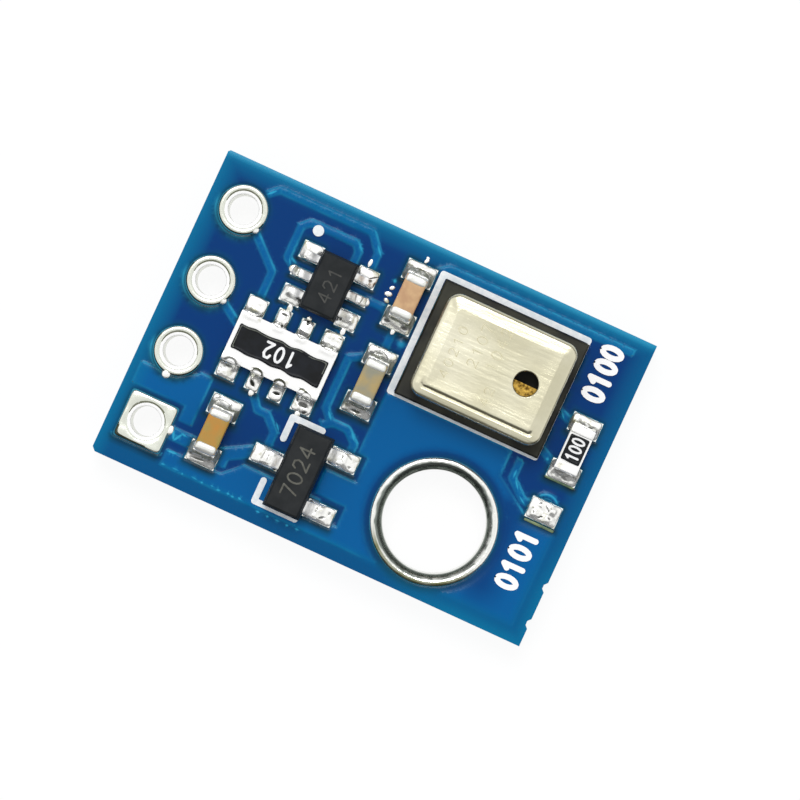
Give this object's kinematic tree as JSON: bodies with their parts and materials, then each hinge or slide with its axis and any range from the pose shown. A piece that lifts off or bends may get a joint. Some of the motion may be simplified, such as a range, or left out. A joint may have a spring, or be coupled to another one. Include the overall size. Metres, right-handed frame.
{
  "type": "temperature humidity sensor module",
  "caption": "Small blue circuit board with a lidded humidity and temperature sensor, a plated mounting hole and a row of header holes.",
  "frame": {"origin": "centre of the board on the plane of its lowest solder pads", "axes": "+X along the board's length, away from the header row; +Z out of the component side"},
  "size_m": [0.0154, 0.0108, 0.0034],
  "materials": {
    "laminate": "fibreglass laminate with blue-tinted edges",
    "solder_mask": "glossy blue lacquer",
    "copper": "copper foil",
    "ink": "white printed ink",
    "tinned_metal": "bright solder and tin plating",
    "nickel_lid": "finely brushed pale nickel",
    "dark_carrier": "dark moulding compound",
    "package_black": "matt black moulding compound",
    "white_ceramic": "white alumina",
    "tan_ceramic": "fired tan ceramic",
    "black_coat": "black glass overcoat",
    "gold": "gold plating",
    "silicon": "polished silicon"
  },
  "bodies": {
    "root": {"address_resistor_coat": "black_coat", "address_resistor_end_a": "tinned_metal", "address_resistor_end_b": "tinned_metal", "address_resistor_pads": "tinned_metal", "address_resistor_solder": "tinned_metal", "address_resistor_substrate": "white_ceramic", "array_coat": "black_coat", "array_pads": "tinned_metal", "array_solder": "tinned_metal", "array_substrate": "white_ceramic", "array_terminals": "tinned_metal", "capacitor_1_ceramic": "tan_ceramic", "capacitor_1_end_a": "tinned_metal", "capacitor_1_end_b": "tinned_metal", "capacitor_2_ceramic": "tan_ceramic", "capacitor_2_end_a": "tinned_metal", "capacitor_2_end_b": "tinned_metal", "capacitor_3_ceramic": "tan_ceramic", "capacitor_3_end_a": "tinned_metal", "capacitor_3_end_b": "tinned_metal", "capacitor_pads": "tinned_metal", "capacitor_solder": "tinned_metal", "circuit_board": "laminate", "humidity_die": "gold", "mounting_hole_ring": "tinned_metal", "open_pad": "tinned_metal", "open_pad_solder": "tinned_metal", "pin_pad_1": "tinned_metal", "pin_pad_2": "tinned_metal", "pin_pad_3": "tinned_metal", "pin_pad_4": "tinned_metal", "regulator_body": "package_black", "regulator_lead_1": "tinned_metal", "regulator_lead_2": "tinned_metal", "regulator_lead_3": "tinned_metal", "regulator_pads": "tinned_metal", "regulator_solder": "tinned_metal", "sensor_base": "dark_carrier", "sensor_bond_wires": "gold", "sensor_contacts": "gold", "sensor_lid": "nickel_lid", "sensor_pads": "tinned_metal", "shifter_body": "package_black", "shifter_lead_1": "tinned_metal", "shifter_lead_2": "tinned_metal", "shifter_lead_3": "tinned_metal", "shifter_lead_4": "tinned_metal", "shifter_lead_5": "tinned_metal", "shifter_lead_6": "tinned_metal", "shifter_pads": "tinned_metal", "shifter_solder": "tinned_metal", "signal_die": "silicon", "silkscreen_top": "ink", "solder_mask_bottom": "solder_mask", "solder_mask_top": "solder_mask", "top_copper": "copper"}
  },
  "joints": []
}
